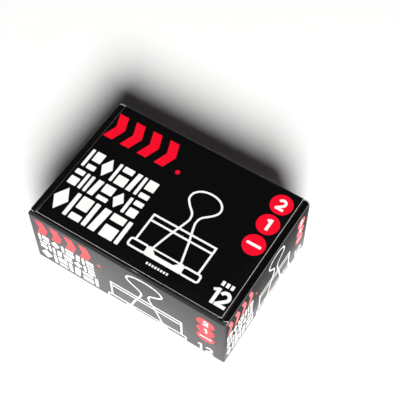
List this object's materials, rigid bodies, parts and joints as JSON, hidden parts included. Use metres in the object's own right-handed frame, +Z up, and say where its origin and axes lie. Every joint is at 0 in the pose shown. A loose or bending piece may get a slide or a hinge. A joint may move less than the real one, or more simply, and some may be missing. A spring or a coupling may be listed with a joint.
{
  "type": "carton of binder clips",
  "caption": "Shut folding carton of printed black paperboard with a hinged tuck-in lid, packed with large spring clips for paper.",
  "frame": {"origin": "middle of the carton's underside", "axes": "+X along the long side, to the right of the long front wall; +Y from that front wall to the back wall, where the lid hinges; +Z up"},
  "size_m": [0.146, 0.1016, 0.0546],
  "materials": {
    "printed_board": "black printed paperboard with a satin varnish",
    "black_steel": "black enamelled spring steel",
    "nickel_wire": "bright nickel plated steel wire"
  },
  "bodies": {
    "root": {"front_wall": "printed_board", "back_wall": "printed_board", "left_wall": "printed_board", "right_wall": "printed_board", "glue_seam_tab": "printed_board", "bottom_outer_panel": "printed_board", "bottom_inner_panel": "printed_board", "bottom_left_dust_flap": "printed_board", "bottom_right_dust_flap": "printed_board", "clip_01_spring_body": "black_steel", "clip_01_handle_a": "nickel_wire", "clip_01_handle_b": "nickel_wire", "clip_02_spring_body": "black_steel", "clip_02_handle_a": "nickel_wire", "clip_02_handle_b": "nickel_wire", "clip_03_spring_body": "black_steel", "clip_03_handle_a": "nickel_wire", "clip_03_handle_b": "nickel_wire", "clip_04_spring_body": "black_steel", "clip_04_handle_a": "nickel_wire", "clip_04_handle_b": "nickel_wire", "clip_05_spring_body": "black_steel", "clip_05_handle_a": "nickel_wire", "clip_05_handle_b": "nickel_wire", "clip_06_spring_body": "black_steel", "clip_06_handle_a": "nickel_wire", "clip_06_handle_b": "nickel_wire", "clip_07_spring_body": "black_steel", "clip_07_handle_a": "nickel_wire", "clip_07_handle_b": "nickel_wire", "clip_08_spring_body": "black_steel", "clip_08_handle_a": "nickel_wire", "clip_08_handle_b": "nickel_wire", "clip_09_spring_body": "black_steel", "clip_09_handle_a": "nickel_wire", "clip_09_handle_b": "nickel_wire", "clip_10_spring_body": "black_steel", "clip_10_handle_a": "nickel_wire", "clip_10_handle_b": "nickel_wire", "clip_11_spring_body": "black_steel", "clip_11_handle_a": "nickel_wire", "clip_11_handle_b": "nickel_wire", "clip_12_spring_body": "black_steel", "clip_12_handle_a": "nickel_wire", "clip_12_handle_b": "nickel_wire"},
    "lid": {"lid_panel": "printed_board"},
    "tuck": {"lid_tuck_flap": "printed_board"},
    "left_flap": {"left_dust_flap": "printed_board"},
    "right_flap": {"right_dust_flap": "printed_board"}
  },
  "joints": [
    {"name": "lid_hinge", "type": "hinge", "parent": "root", "child": "lid", "pos_m": [0, 0.0508, 0.0546], "axis": [-1, 0, 0], "range_deg": [0, 178]},
    {"name": "lid_tuck_fold", "type": "hinge", "parent": "lid", "child": "tuck", "pos_m": [0, -0.0485, 0.0546], "axis": [-1, 0, 0], "range_deg": [0, 53.4]},
    {"name": "left_dust_fold", "type": "hinge", "parent": "root", "child": "left_flap", "pos_m": [-0.073, 0, 0.0538], "axis": [0, -1, 0], "range_deg": [0, 89]},
    {"name": "right_dust_fold", "type": "hinge", "parent": "root", "child": "right_flap", "pos_m": [0.073, 0, 0.0538], "axis": [0, 1, 0], "range_deg": [0, 89]}
  ],
  "couplings": [
    {"joint": "lid_tuck_fold", "follows": "lid_hinge", "ratio": 0.3},
    {"joint": "left_dust_fold", "follows": "lid_hinge", "ratio": 0.5},
    {"joint": "right_dust_fold", "follows": "lid_hinge", "ratio": 0.5}
  ]
}
